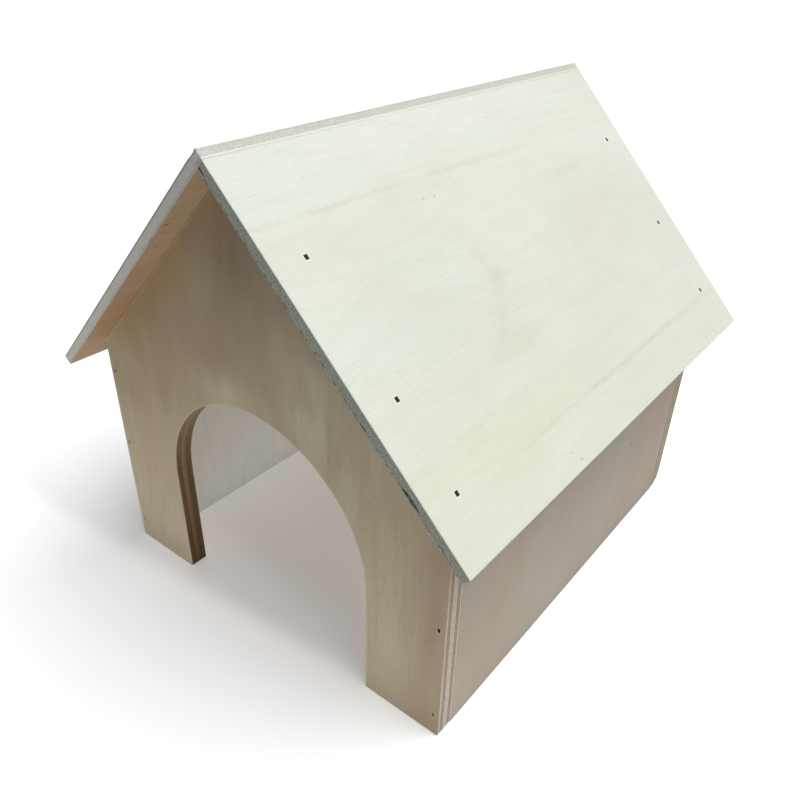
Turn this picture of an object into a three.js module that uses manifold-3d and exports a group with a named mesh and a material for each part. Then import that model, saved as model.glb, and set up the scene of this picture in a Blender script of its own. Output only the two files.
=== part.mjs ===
// A small dog house nailed together from bare plywood: two gables, two side walls and two roof sheets.
// Millimetres, +Z up. The front faces -Y, left and right are as seen from the front, and the origin
// is on the ground under the middle of the house.

import * as THREE from 'three';
import { mergeVertices } from 'three/addons/utils/BufferGeometryUtils.js';
import Module from 'manifold-3d';

// Walls
const WALL_WIDTH = 200; // over the outer faces of the side walls
const WALL_HEIGHT = 119.5; // ground to the foot of the gable's slope
const WALL_LENGTH = 230; // over the outer faces of the gables
const WALL_THICK = 9.5; // five plies

// Roof
const ROOF_PITCH = THREE.MathUtils.degToRad(45);
const ROOF_THICK = 4.75; // three plies
const ROOF_EAVE = 18; // past the foot of the gable's slope, down the pitch
const ROOF_OVERHANG = 13; // past each gable
const ROOF_SEAT = 0.3; // left between a sloping sheet and what carries it

// Doorway in the front gable: straight jambs under a half circle
const DOOR_WIDTH = 120;
const DOOR_JAMB = 59.5;
const ARCH_STEPS = 72;

// Brad nails of flat wire with a T head
const NAIL_LENGTH = 30;
const NAIL_WIRE_WIDTH = 1.2;
const NAIL_WIRE_THICK = 1;
const NAIL_HEAD_WIDTH = 1.7;
const NAIL_HEAD_HEIGHT = 0.8;
const NAIL_POINT = 2.5; // length of the chisel point
const NAIL_TIP_WIDTH = 0.4;
const NAIL_SUNK = 1; // the head lies this deep under the surface
const NAIL_CLEARANCE = 0.2; // between a nail and its hole
const NAIL_BREAKOUT = 1; // the hole's cutter stands this far out of the surface

// Where the nails stand
const WALL_NAIL_SIDE = 3; // from the gable's side edge
const WALL_NAIL_FOOT = 12; // lowest nail, above the ground
const WALL_NAIL_TOP = 15.5; // highest nail, below the foot of the gable's slope
const ROOF_NAIL_RIDGE = 41; // highest nail, down the slope from the ridge
const ROOF_NAIL_EAVE = 25; // lowest nail, up the slope from the eave
const ROOF_NAIL_FACE = 2.5; // from the gable's outer face
const WALL_NAIL_MIDDLE = 0.55; // middle nail, share of the way up its row
const ROOF_NAIL_MIDDLE = { front: 0.4, back: 0.45 };

const wood = (color) => new THREE.MeshStandardMaterial({ color, roughness: 0.8, metalness: 0 });
const GABLE_WOOD = wood(0xd0c0a2);
const SIDE_WOOD = wood(0xd3c4ac);
const ROOF_WOOD = wood(0xe6e4d0);
const NAIL_STEEL = new THREE.MeshStandardMaterial({ color: 0x8b8780, roughness: 0.4, metalness: 0.9 });

const wasm = await Module();
wasm.setup();

function solidOf(geometry) {
  const bare = geometry.clone();
  bare.deleteAttribute('normal');
  bare.deleteAttribute('uv');
  const merged = mergeVertices(bare);
  return new wasm.Manifold(
    new wasm.Mesh({
      numProp: 3,
      vertProperties: merged.attributes.position.array,
      triVerts: merged.index.array,
    }),
  );
}

function geometryOf(solid) {
  const mesh = solid.getMesh();
  const geometry = new THREE.BufferGeometry();
  geometry.setAttribute('position', new THREE.BufferAttribute(mesh.vertProperties, 3));
  geometry.setIndex(new THREE.BufferAttribute(mesh.triVerts, 1));
  geometry.computeVertexNormals();
  return geometry;
}

function part(name, geometry, material) {
  const mesh = new THREE.Mesh(geometry, material.clone());
  mesh.name = name;
  return mesh;
}

// The gable's outline from foot to foot, without the doorway.
function gableShape() {
  const half = WALL_WIDTH / 2;
  const shape = new THREE.Shape();
  shape.moveTo(half, 0);
  shape.lineTo(half, WALL_HEIGHT);
  shape.lineTo(0, WALL_HEIGHT + half * Math.tan(ROOF_PITCH));
  shape.lineTo(-half, WALL_HEIGHT);
  shape.lineTo(-half, 0);
  return shape;
}

// The doorway is open at the ground, so its edge is part of the outline: up the left jamb, over
// the arch and down the right jamb.
function doorGableShape() {
  const radius = DOOR_WIDTH / 2;
  const shape = gableShape();
  shape.lineTo(-radius, 0);
  shape.lineTo(-radius, DOOR_JAMB);
  shape.absarc(0, DOOR_JAMB, radius, Math.PI, 0, true);
  shape.lineTo(radius, 0);
  return shape;
}

// A gable lies in its group's XY plane with its outer face at z = 0 and its foot on the X axis.
function gable(name, shape) {
  const settings = { depth: WALL_THICK, bevelEnabled: false, curveSegments: ARCH_STEPS };
  const geometry = new THREE.ExtrudeGeometry(shape, settings);
  geometry.translate(0, 0, -WALL_THICK);
  return part(name, geometry, GABLE_WOOD);
}

// Stands the gable up at one end of the house: end is -1 at the front and 1 at the back.
function gableGroup(end) {
  const group = new THREE.Group();
  group.position.y = (end * WALL_LENGTH) / 2;
  group.rotation.set(Math.PI / 2, 0, end > 0 ? Math.PI : 0, 'ZYX');
  return group;
}

// A side wall stands between the gables, which cover its ends.
function sideWall(name, side) {
  const length = WALL_LENGTH - 2 * WALL_THICK;
  const wall = part(name, new THREE.BoxGeometry(WALL_THICK, length, WALL_HEIGHT), SIDE_WOOD);
  wall.position.set((side * (WALL_WIDTH - WALL_THICK)) / 2, 0, WALL_HEIGHT / 2);
  return wall;
}

// In a slope's group X runs down the slope from the ridge, Y along the ridge and Z out of the roof.
// side is 1 for the right slope and -1 for the left one.
function slopeGroup(side) {
  const peak = WALL_HEIGHT + (WALL_WIDTH / 2) * Math.tan(ROOF_PITCH);
  const group = new THREE.Group();
  group.position.z = peak + ROOF_SEAT / Math.cos(ROOF_PITCH);
  group.rotation.set(0, ROOF_PITCH, side < 0 ? Math.PI : 0, 'ZYX');
  return group;
}

// From the ridge to the eave, along a sheet's underside.
function roofSlope() {
  return WALL_WIDTH / 2 / Math.cos(ROOF_PITCH) + ROOF_EAVE;
}

function roofSheet(name, top) {
  const length = WALL_LENGTH + 2 * ROOF_OVERHANG;
  const geometry = new THREE.BoxGeometry(roofSlope() - top, length, ROOF_THICK);
  geometry.translate((roofSlope() + top) / 2, 0, ROOF_THICK / 2);
  return part(name, geometry, ROOF_WOOD);
}

// The right sheet's square top end stops under the left sheet.
function rightSheetTop() {
  const lean = ROOF_THICK / Math.tan(2 * ROOF_PITCH);
  return Math.max(0, lean) + ROOF_SEAT / Math.sin(2 * ROOF_PITCH);
}

// The left sheet runs past the ridge until its end is flush with the right sheet's outer face.
function leftSheetTop() {
  return -ROOF_THICK / Math.sin(2 * ROOF_PITCH);
}

// A nail's side view: its head's top is at y = 0 and its point below. grow widens it all round and
// reach lifts the top, which makes the cutter of its hole.
function nailShape(grow, reach) {
  const head = NAIL_HEAD_WIDTH / 2 + grow;
  const wire = NAIL_WIRE_WIDTH / 2 + grow;
  const tip = NAIL_TIP_WIDTH / 2 + grow;
  const shape = new THREE.Shape();
  shape.moveTo(head, reach);
  shape.lineTo(-head, reach);
  shape.lineTo(-head, -NAIL_HEAD_HEIGHT - grow);
  shape.lineTo(-wire, -NAIL_HEAD_HEIGHT - grow);
  shape.lineTo(-wire, NAIL_POINT - NAIL_LENGTH);
  shape.lineTo(-tip, -NAIL_LENGTH - grow);
  shape.lineTo(tip, -NAIL_LENGTH - grow);
  shape.lineTo(wire, NAIL_POINT - NAIL_LENGTH);
  shape.lineTo(wire, -NAIL_HEAD_HEIGHT - grow);
  shape.lineTo(head, -NAIL_HEAD_HEIGHT - grow);
  return shape;
}

// The nail stands along Z with its head up, and its head's long side lies along X.
function nailGeometry(grow = 0, reach = 0) {
  const thick = NAIL_WIRE_THICK + 2 * grow;
  const geometry = new THREE.ExtrudeGeometry(nailShape(grow, reach), { depth: thick, bevelEnabled: false });
  geometry.translate(0, 0, -thick / 2);
  return geometry.rotateX(Math.PI / 2);
}

function nail(name) {
  return part(name, nailGeometry(), NAIL_STEEL);
}

// The three nails of a row, each at its share of the way up.
function nailRow(middle) {
  return Object.entries({ low: 0, middle, high: 1 });
}

// Three nails up each side edge of a gable, into the ends of the side walls.
function wallNails(group, prefix, gablePanel, walls, end) {
  const rise = WALL_HEIGHT - WALL_NAIL_TOP - WALL_NAIL_FOOT;
  return Object.entries(walls).flatMap(([side, wall]) =>
    nailRow(WALL_NAIL_MIDDLE).map(([row, share]) => {
      const mesh = nail(`${prefix}_nail_${side}_${row}`);
      const across = Math.sign(wall.position.x) * (WALL_WIDTH / 2 - WALL_NAIL_SIDE);
      mesh.position.set(-end * across, WALL_NAIL_FOOT + share * rise, -NAIL_SUNK);
      mesh.rotation.z = Math.PI / 2;
      group.add(mesh);
      return { mesh, through: [gablePanel, wall] };
    }),
  );
}

// Three nails down each end of a roof sheet, into the gable's sloping edge.
function roofNails(group, prefix, sheet, gables, side) {
  const lowest = roofSlope() - ROOF_NAIL_EAVE;
  const along = WALL_LENGTH / 2 - ROOF_NAIL_FACE;
  return Object.entries(gables).flatMap(([place, { panel, end }]) =>
    nailRow(ROOF_NAIL_MIDDLE[place]).map(([row, share]) => {
      const mesh = nail(`${prefix}_nail_${place}_${row}`);
      const down = lowest - share * (lowest - ROOF_NAIL_RIDGE);
      mesh.position.set(down, side * end * along, ROOF_THICK - NAIL_SUNK);
      group.add(mesh);
      return { mesh, through: [sheet, panel] };
    }),
  );
}

// Cuts each nail's hole in the panels that it goes through.
function drill(fastenings) {
  const cutter = nailGeometry(NAIL_CLEARANCE, NAIL_SUNK + NAIL_BREAKOUT);
  for (const panel of new Set(fastenings.flatMap((fastening) => fastening.through))) {
    const toPanel = panel.matrixWorld.clone().invert();
    let solid = solidOf(panel.geometry);
    for (const { mesh } of fastenings.filter((fastening) => fastening.through.includes(panel))) {
      const place = toPanel.clone().multiply(mesh.matrixWorld);
      solid = solid.subtract(solidOf(cutter.clone().applyMatrix4(place)));
    }
    panel.geometry = geometryOf(solid);
  }
}

function buildHouse() {
  const house = new THREE.Group();

  const walls = { left: sideWall('left_wall', -1), right: sideWall('right_wall', 1) };
  const gables = {
    front: { panel: gable('front_wall', doorGableShape()), end: -1 },
    back: { panel: gable('back_wall', gableShape()), end: 1 },
  };
  const sheets = {
    left: { panel: roofSheet('left_roof', leftSheetTop()), side: -1 },
    right: { panel: roofSheet('right_roof', rightSheetTop()), side: 1 },
  };

  const fastenings = [];
  house.add(walls.left, walls.right);
  for (const [place, { panel, end }] of Object.entries(gables)) {
    const group = gableGroup(end);
    group.add(panel);
    fastenings.push(...wallNails(group, place, panel, walls, end));
    house.add(group);
  }
  for (const [place, { panel, side }] of Object.entries(sheets)) {
    const group = slopeGroup(side);
    group.add(panel);
    fastenings.push(...roofNails(group, `${place}_roof`, panel, gables, side));
    house.add(group);
  }

  house.updateMatrixWorld(true);
  drill(fastenings);
  return house;
}

export default buildHouse();
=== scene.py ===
"""Dresses a small nailed plywood dog house round its CAD frame.

The panels' sizes and places come from the frame. Each panel is worked out with numpy as one closed
surface with softened arrises, grooved glue lines, nail pits and torn spots, and carries its own
coordinates, which its plywood reads. Splinters hang from the right roof sheet's front edge. The
brads keep their CAD shape. Metres, +Z up, the front faces -Y.
"""

import math
from dataclasses import dataclass

import bpy
import numpy as np
from bpy.props import FloatProperty, FloatVectorProperty, IntProperty, PointerProperty
from bpy.types import Operator, Panel, PropertyGroup
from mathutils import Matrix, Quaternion, Vector


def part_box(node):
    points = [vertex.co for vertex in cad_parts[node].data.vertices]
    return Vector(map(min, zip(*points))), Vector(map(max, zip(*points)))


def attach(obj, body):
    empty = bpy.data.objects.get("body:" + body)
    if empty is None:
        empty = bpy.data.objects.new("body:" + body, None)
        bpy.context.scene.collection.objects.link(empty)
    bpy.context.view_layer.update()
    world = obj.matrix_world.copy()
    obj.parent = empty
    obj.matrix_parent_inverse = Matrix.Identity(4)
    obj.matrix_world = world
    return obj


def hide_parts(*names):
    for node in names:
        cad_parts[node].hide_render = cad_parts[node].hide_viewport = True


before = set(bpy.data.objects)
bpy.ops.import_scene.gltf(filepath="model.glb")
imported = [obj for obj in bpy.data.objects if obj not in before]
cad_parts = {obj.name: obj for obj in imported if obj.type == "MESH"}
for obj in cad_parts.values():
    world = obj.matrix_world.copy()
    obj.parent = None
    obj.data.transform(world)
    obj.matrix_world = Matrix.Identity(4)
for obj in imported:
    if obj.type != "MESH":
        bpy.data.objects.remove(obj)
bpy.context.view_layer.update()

bl_info = {
    "name": "Plywood dog house",
    "version": (1, 0, 0),
    "blender": (4, 5, 0),
    "location": "3D View > Sidebar > Dog house",
    "description": "Dresses the panels and brads of a nailed plywood dog house",
    "category": "Add Mesh",
}

MM = 0.001
BRADS = [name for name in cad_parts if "_nail_" in name]

# A panel's grid
ARRIS_STATIONS = (1.0 * MM, 1.6 * MM, 2.4 * MM)  # lines along a panel's sides
LIP_STATIONS = (0.25 * MM, 0.6 * MM, 1.1 * MM)  # lines round a nail pit
STATION_GAP = 0.6 * MM  # an even line nearer than this to a needed one is left out
STATION_DECIMALS = 7  # grid lines that agree to so many decimals of a metre are one line
ARRIS_STEPS = 4  # points on each arris's quarter circle
JOINT_REACH = 0.12 * MM  # half the width of the groove along a glue line
GROOVE_LEAST = 0.4  # of the groove's depth, to which noise adds
TEAR_LEAST = 0.7  # of a tear's depth
TEAR_NOISE = 0.3  # of a tear's depth, which noise adds to that
TEAR_REACH = 1.6  # half lengths of a tear that its close grid lines cover each way
TEAR_LINES = 15

# A nail pit
ROOF_PIT_CLEARANCE = (0.25 * MM, 0.04 * MM)  # between the brad's head and the wall, along and across
WALL_PIT_CLEARANCE = (0.08 * MM, 0.04 * MM)  # the same in the gables and side walls
FILLED = ("front_nail_left_low", "front_nail_left_middle", "front_nail_left_high", "front_nail_right_low")
FILLED_DEPTH = 0.3 * MM  # of a pit that is full of dust
PIT_SEAT = 1.0 * MM  # the floor lies this far below the top of the brad's head
PIT_WALL_LEAN = 0.06 * MM  # between the top of a pit's wall and its foot

# Gables
DOOR_BAND = 3.0 * MM  # lines keep their distance to the doorway's edge within this
SIDE_BAND = 6.0 * MM  # lines keep their distance to the outline within this
KINK_FADE = 13.0 * MM  # lines lean towards a corner's mitre within this of it
TOP_BAND = 3.0 * MM  # lines keep their distance to the slopes within this
SEAT_LIFT = 0.34 * MM  # closes the seam between a gable's slope and the roof
LEVEL_TOP = 106.5 * MM  # the back gable's lines are level up to here, above its highest wall brad
GROUND_REACH = 1.0 * MM  # the gable's points below this stand on the ground
CROWN_REACH = 0.1 * MM  # its points this near the middle are its peak and the doorway's crown

# Plies, as shares of a panel's thickness from its outer face
WALL_JOINTS = (0.13, 0.33, 0.67, 0.87)
WALL_TORN = (1, 3)  # the plies that are torn in, counted from 0 at the outer face
ROOF_JOINTS = (0.13, 0.87)
ROOF_TORN = (1,)
JOINT_SHARE = 0.022  # half the width of a glue line
WAVER = 0.03  # how far the bands waver
MIDDLE_SHARE = 0.5

# Patina and painted shade
RUBBED_WIDTH = 22 * MM  # of the back gable's rubbed foot
SLOPE_REACH = 0.7 * MM  # of the pale arris along the gable's slopes
SLOPE_PALENESS = 0.35  # how much paler that arris is
FOOT_SHADE = 0.24  # how much darker a wall is painted where it meets the ground: painted shade
FOOT_SHADE_REACH = 13 * MM
PIT_PALENESS = 0.22  # how much paler the bruise round a pit is, bruised fibres with a painted highlight
PIT_PALE_REACH = 0.5 * MM
PIT_BRUISE_AND_HIGHLIGHT_DROP = 0.3 * MM  # the bruise and its painted highlight lie this far downhill of the pit
PIT_SHADE = 0.1  # painted shade: the share of the wood's colour that is left in a pit
FILLED_TINT = (0.58, 0.44, 0.33)  # the same in a pit full of dust: red, green and blue
ARRIS_PALE_AND_HIGHLIGHT = 0.45  # how much of the outer ply's sawn colour an arris shows, with a painted highlight
ARRIS_MIDDLE = 0.14 * MM  # below the face, where it shows most
ARRIS_WIDTH = 0.09 * MM
VENEER_END = (0.1 * MM, 0.35 * MM)  # the face gives way to the sawn plies between these depths
BURN_AND_SHADE_START = 0.35 * MM  # below the outer face
BURN_AND_SHADE_END = 0.1 * MM  # short of the inner face
BURN_AND_SHADE_REACH = 0.4 * MM
BURN_AND_SHADE_TINT = (0.50, 0.42, 0.25)  # the shares of red, green and blue that the burn and painted shade leave
BURN_AND_SHADE_LOW = (0.70, 0.83, 0.93)  # how much less of each it leaves at the ground: painted shade
BURN_BANDS = ((0.45, 0.12, 0.5), (0.1, 0.05, 0.3))  # paler plies: share of the depth, width, how much
SANDED_REACH = 0.5 * MM
SANDED_PALENESS = 0.25  # how much paler the sanded arris is
SANDED_FADE = 1.5  # how fast the sanding fades left of the middle, per half door

# Sizes of the plywood's patterns: along the face grain, across it, and through the thickness
DRIFT_SIZE = (80 * MM, 40 * MM, 3 * MM)
RING_SIZE = (170 * MM, 34 * MM, 3 * MM)
RING_COUNT = 7  # contour lines from a cloud's lowest value to its highest
FIBRE_SIZE = (24 * MM, 0.5 * MM, 3 * MM)
FEATHER_SIZE = (4 * MM, 0.9 * MM, 3 * MM)
WAVER_SIZE = (12 * MM, 12 * MM, 200 * MM)
LAYER_SIZE = (6 * MM, 6 * MM, 0.22 * MM)
SAW_SIZE = (0.5 * MM, 0.5 * MM, 1.2 * MM)
PORE_SIZE = (0.6 * MM, 0.6 * MM, 0.55 * MM)
PATCH_BREAK_SIZE = (30 * MM, 12 * MM, 500 * MM)
PATCH_DEPTH = 1000.0  # a patch is the same all through the face
DASH_SIZE = (1.7 * MM, 1.7 * MM, 1.0 * MM)
STREAK_WAVER_SIZE = (70 * MM, 500 * MM, 500 * MM)
STREAK_WAVER = 5 * MM
STREAK_BREAK_SIZE = (26 * MM, 8 * MM, 500 * MM)
CATHEDRAL_BEND_SIZE = (26 * MM, 14 * MM, 500 * MM)
CATHEDRAL_BEND = 8 * MM
CATHEDRAL_BREAK_SIZE = (20 * MM, 12 * MM, 500 * MM)
CATHEDRAL_LEAN = 0.3
CATHEDRAL_REACH = 34 * MM
FACE_RELIEF = 0.012 * MM  # height of the fibres
RIM_RELIEF = 0.09 * MM  # height of the sawn edge's marks
KNOT_LENGTH = 1.3  # a pin knot's length along the grain, in widths

# Detail of a pattern's clouds
COARSE = 1.0
MEDIUM = 2.0
FINE = 3.0

# How clouds, which run from 0 to 1, are drawn: where a pattern starts and where it is whole
CLOUD_MIDDLE = 0.5
DRIFT_SPAN = (0.32, 0.72)
RING_SPAN = (0.2, 1.0)  # of the contours' wave
FIBRE_SPAN = (0.45, 0.75)
FEATHER_SPAN = (0.5, 0.75)
DASH_SPAN = (0.48, 0.56)
LAYER_SHARE = 0.4  # of fine layers in what marks a sawn edge
SAW_SHARE = 0.6  # and of saw marks

# The same, followed by the strength at either end
PATCH_BREAK = (0.3, 0.7, 0.5, 1.0)
PORE_INK = (0.5, 0.6, 0.0, 0.55)
SAWN_INK = (0.38, 0.62, 0.0, 0.4)
STREAK_BREAK = (0.3, 0.6, 0.15, 1.0)
STREAK_FEATHERS = (0.35, 0.6, 0.3, 1.0)
CATHEDRAL_BREAK = (0.38, 0.62, 0.1, 1.0)
STRAND_INK = (0.5, 0.7, 0.0, 0.25)
OXIDE_INK = (0.45, 0.7, 0.0, 0.6)
DRAWN_ROUGHNESS = (0.3, 0.7, 0.35, 0.6)  # the last two are roughnesses

# Where in the clouds each panel's plywood starts, and how far from there each pattern lies
ROOF_SEEDS = {"left": 31.0, "right": 3.0}
GABLE_SEEDS = {"front": 12.0, "back": 57.0}
SIDE_SEEDS = {"left": 71.0, "right": 23.0}
SHIFTS = {
    "inner face": 20,
    "rim": 40,
    "rings": 3.1,
    "fibres": 7.3,
    "feathers": 11.7,
    "patches": 15.1,
    "layers": 2.9,
    "saw": 5.3,
    "pores": 8.9,
    "dashes": 9.7,
    "streak's breaks": 1.7,
    "streak's feathers": 2.9,
    "arch's breaks": 4.1,
}

# Finishes
WOOD_ROUGHNESS = 0.62
WOOD_SPECULAR = 0.25
TORN_ROUGHNESS = 0.7
STEEL_ROUGHNESS = 0.5
STEEL_METALLIC = 0.85
DRAWN_SIZE = (0.3 * MM, 0.3 * MM, 3 * MM)
DRAWN_SEED = 2.0
OXIDE_SIZE = (0.8 * MM, 0.8 * MM, 0.8 * MM)
OXIDE_SEED = 5.0
OXIDE_DARKNESS = 0.4  # the share of the steel's colour that is left under oxide
FLOOR_ROUGHNESS = 0.9

# Splinters
SLIVER_RINGS = 5
SLIVER_POINT = 0.02  # a sliver's thinnest, as a share of its way
SLIVER_FLATNESS = 0.5
SLIVER_TAPER = 0.6
SLIVER_CORNERS = 4  # of its section, so that one face closes each end
SPLINTER_INSET = 0.3 * MM  # behind the front edge
SPLINTER_ROOT = 0.6 * MM  # up from the underside
SPLINTERS = (  # in mm: place across, lean along the edge, drop below the sheet, half width
    (96.0, 1.2, 0.25, 0.14),
    (118.5, -1.0, 0.3, 0.15),
    (130.6, 1.4, 0.35, 0.16),
    (138.6, 1.2, 1.1, 0.7),
    (139.9, -0.7, 0.7, 0.55),
    (142.5, -1.3, 0.4, 0.18),
    (145.6, 1.2, 0.6, 0.4),
    (150.2, 1.4, 0.35, 0.17),
    (154.8, -1.1, 0.45, 0.2),
)
STRAND_SIZE = (0.15 * MM, 0.15 * MM, 0.6 * MM)
STRAND_SEED = 3.0

# Studio
FLOOR_REACH = 4.0
KEY_FROM = (0.40, 0.25, 0.90)  # the way from the house to the soft light overhead
KEY_SPREAD = math.radians(62)  # how wide that light is, seen from the house
GLOW_MIDDLE = (-0.08, -0.10, 0.0)
GLOW_NEAR = 0.15  # the floor's glow is whole within this of its middle
GLOW_FAR = 0.42  # and gone past this
LIFT_ALONG = (-0.10, 1.0, 0.0)  # the way from the front lift to the lower one, painted shade on the floor under and behind the house
LIFT_FRONT = -0.126  # where on that way the front lift starts to give way
LIFT_SHADE_WHOLE = -0.110  # and where that painted shade is whole
CAMERA_PLACE = (207.53 * MM, -286.31 * MM, 290.67 * MM)
CAMERA_AIM = (-62.31 * MM, 73.11 * MM, 0.0)
CAMERA_ROLL = math.radians(1.987)
CAMERA_LENS = 34.874
CAMERA_SHIFT = (-0.01073, 0.0204)


def srgb(red, green, blue):
    """A colour given as 0 to 255 on the screen, as linear light."""
    screen = np.array([red, green, blue]) / 255
    linear = np.where(screen <= 0.04045, screen / 12.92, ((screen + 0.055) / 1.055) ** 2.4)
    return (*linear.tolist(), 1.0)


def colour(label, use, default):
    return FloatVectorProperty(
        name=label, description=use, subtype="COLOR", size=4, min=0, max=1, default=default
    )


def length(label, use, default):
    return FloatProperty(
        name=label, description=use, unit="LENGTH", subtype="DISTANCE", min=0, precision=5, default=default
    )


def number(label, use, default):
    return FloatProperty(name=label, description=use, min=0, default=default)


# ---------------------------------------------------------------------------------------------
# What a user would change
# ---------------------------------------------------------------------------------------------


class HouseSizes(PropertyGroup):
    arris: length("Arris", "Radius of the softened edges", 0.3 * MM)
    foot: length("Worn foot", "Radius of a gable's left bottom corner", 2.4 * MM)
    crisp_foot: length("Crisp foot", "Radius of a gable's right bottom corner", 0.9 * MM)
    worst_foot: length("Rubbed foot", "Radius of the back gable's foot, seen from its side", 8.5 * MM)
    step: length("Grid step", "Distance between a panel's even grid lines", 2.2 * MM)
    rim_step: length("Rim step", "Distance between the rings round a panel's edge", 0.35 * MM)
    groove: length("Glue groove", "Depth of the line between two plies", 0.06 * MM)
    rough: length("Sawn roughness", "How far end grain is torn in", 0.05 * MM)
    lip: length("Raised lip", "Height of the fibres raised round a nail pit", 0.1 * MM)
    seed: IntProperty(name="Seed", description="Changes the roughness of the sawn edges", default=7)


class HouseColours(PropertyGroup):
    roof: colour("Roof veneer", "Pale face of the roof sheets", srgb(233, 239, 226))
    roof_warm: colour("Roof veneer, warm", "Warmer patches of the roof sheets", srgb(229, 231, 216))
    roof_figure: colour("Roof figure", "Growth rings and streaks of the roof sheets", srgb(192, 188, 160))
    soffit: colour("Soffit veneer", "Inner face of the roof sheets", srgb(206, 180, 147))
    soffit_warm: colour("Soffit veneer, warm", "Warmer patches of the inner face", srgb(192, 155, 114))
    gable: colour("Gable veneer", "Face of the gables", srgb(220, 204, 173))
    # partly the veneer's own tone, partly painted shade under the roof, where the gables' warm shade grows
    # upwards
    gable_warm_and_shade: colour("Gable veneer, warm", "Browned veneer under the roof", srgb(186, 164, 136))
    side: colour("Side veneer", "Face of the side walls", srgb(185, 177, 162))
    side_warm: colour("Side veneer, warm", "Warmer patches of the side walls", srgb(184, 167, 152))
    soffit_figure: colour("Soffit figure", "Growth rings and cracks of the inner face", srgb(122, 88, 60))
    lining: colour("Lining", "Inner face of the side walls", srgb(238, 238, 234))
    side_figure: colour("Side figure", "Growth rings and streaks of the side walls", srgb(150, 134, 112))
    figure: colour("Figure", "Growth rings and streaks of the veneer", srgb(186, 172, 128))
    ply_light: colour("Light ply", "Sawn edge of a ply that runs along the edge", srgb(232, 219, 200))
    ply_dark: colour("Dark ply", "End grain of a ply that runs across", srgb(182, 167, 148))
    glue: colour("Glue line", "Line between two plies", srgb(134, 114, 90))
    worn_light: colour("Light ply, worn", "The back gable's light plies", srgb(198, 186, 166))
    worn_dark: colour("Dark ply, worn", "The back gable's dark plies", srgb(187, 173, 153))
    veneer_edge: colour("Roof veneer's edge", "Sawn edge of its outer plies", srgb(250, 250, 245))
    core: colour("Right sheet's core", "Sawn edge of its middle ply", srgb(210, 219, 205))
    core_pale: colour("Left sheet's core", "Sawn end of its middle ply", srgb(252, 252, 248))
    core_side: colour("Left sheet's core, ridge", "Its middle ply along the ridge", srgb(228, 227, 217))
    core_dark: colour("Right core's pores", "Open pores and glue in its sawn edge", srgb(96, 98, 86))
    core_grey: colour("Left core's pores, ridge", "Open pores and glue along the ridge", srgb(178, 174, 160))
    veneer_end: colour("Left veneer's end", "Sawn end of the left sheet's outer ply", srgb(178, 176, 164))
    core_open: colour("Left core's pores, front", "Open pores and glue in its sawn end", srgb(222, 220, 212))
    steel: colour("Brad steel", "Dull drawn wire", srgb(44, 42, 40))


class HouseStudio(PropertyGroup):
    floor: colour("Floor", "The pale floor as the camera sees it", srgb(250, 252, 255))
    bounce: colour("Floor bounce", "The pale floor as the object sees it", srgb(140, 137, 131))
    lift: number("Floor lift, front", "Brightness the camera sees on top, before the house", 0.335)
    # a lower lift paints shade on the floor under and behind the house
    lift_shaded: number("Floor lift, back", "The same under the house and behind it", 0.212)
    glow: number("Floor glow", "Light that the nearby floor gives the house", 0.70)
    sky: number("Sky", "Strength of the light from all round", 0.14)
    key: number("Key light", "Strength of the soft light overhead", 2.8)


# ---------------------------------------------------------------------------------------------
# Panels
# ---------------------------------------------------------------------------------------------


def node_points(node):
    """A CAD node's points, one row each."""
    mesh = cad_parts[node].data
    points = np.empty(len(mesh.vertices) * 3, np.float32)
    mesh.vertices.foreach_get("co", points)
    return points.reshape(-1, 3).astype(float)


class Board:
    """A panel's own coordinates: along its face grain, across it, and inwards from its outer face."""

    def __init__(self, node, along, across, out, pit_clearance):
        self.node = node
        self.pit_clearance = pit_clearance
        self.axes = np.array([along, across, np.negative(out)], float)
        local = node_points(node) @ self.axes.T
        self.low = local.min(axis=0)
        self.along, self.across, self.thick = local.max(axis=0) - self.low

    def local(self, points):
        return points @ self.axes.T - self.low

    def world(self, points):
        return (points + self.low) @ self.axes

    def pits(self):
        """Per brad driven into the outer face: the pit's centre and half sizes along and across, and
        the depth of its floor."""
        found = []
        for brad in BRADS:
            points = self.local(node_points(brad))
            low, high = points.min(axis=0), points.max(axis=0)
            driven_square = (high - low).argmax() == 2
            if driven_square and 0 < low[2] < self.thick:
                half = (high - low)[:2] / 2 + self.pit_clearance
                floor = FILLED_DEPTH if brad in FILLED else low[2] + PIT_SEAT
                found.append([*(low + high)[:2] / 2, *half, floor])
        return np.array(found).reshape(-1, 5)


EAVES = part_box("right_wall")[1].z
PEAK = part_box("front_wall")[1].z
HALF_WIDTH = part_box("front_wall")[1].x
PITCH = math.atan2(PEAK - EAVES, HALF_WIDTH)
UP, BACK, RIGHT = np.array([0, 0, 1]), np.array([0, 1, 0]), np.array([1, 0, 0])


def roof_board(node, side):
    down = side * math.cos(PITCH) * RIGHT - math.sin(PITCH) * UP
    out = side * math.sin(PITCH) * RIGHT + math.cos(PITCH) * UP
    return Board(node, BACK, down, out, ROOF_PIT_CLEARANCE)


def gable_board(node, end):
    return Board(node, UP, RIGHT, end * BACK, WALL_PIT_CLEARANCE)


def wall_board(node, side):
    return Board(node, UP, BACK, side * RIGHT, WALL_PIT_CLEARANCE)


def stations(span, step, needed=()):
    """Grid lines along a side: even steps, closed up at both ends and at the needed places."""
    ends = np.array([0.0, *ARRIS_STATIONS])
    fixed = np.unique(np.concatenate([ends, span - ends, np.ravel(needed)]).round(STATION_DECIMALS))
    even = np.linspace(0, span, round(span / step) + 1)
    clear = np.abs(even[:, None] - fixed).min(axis=1) > STATION_GAP
    return np.unique(np.concatenate([fixed, even[clear]]))


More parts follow.
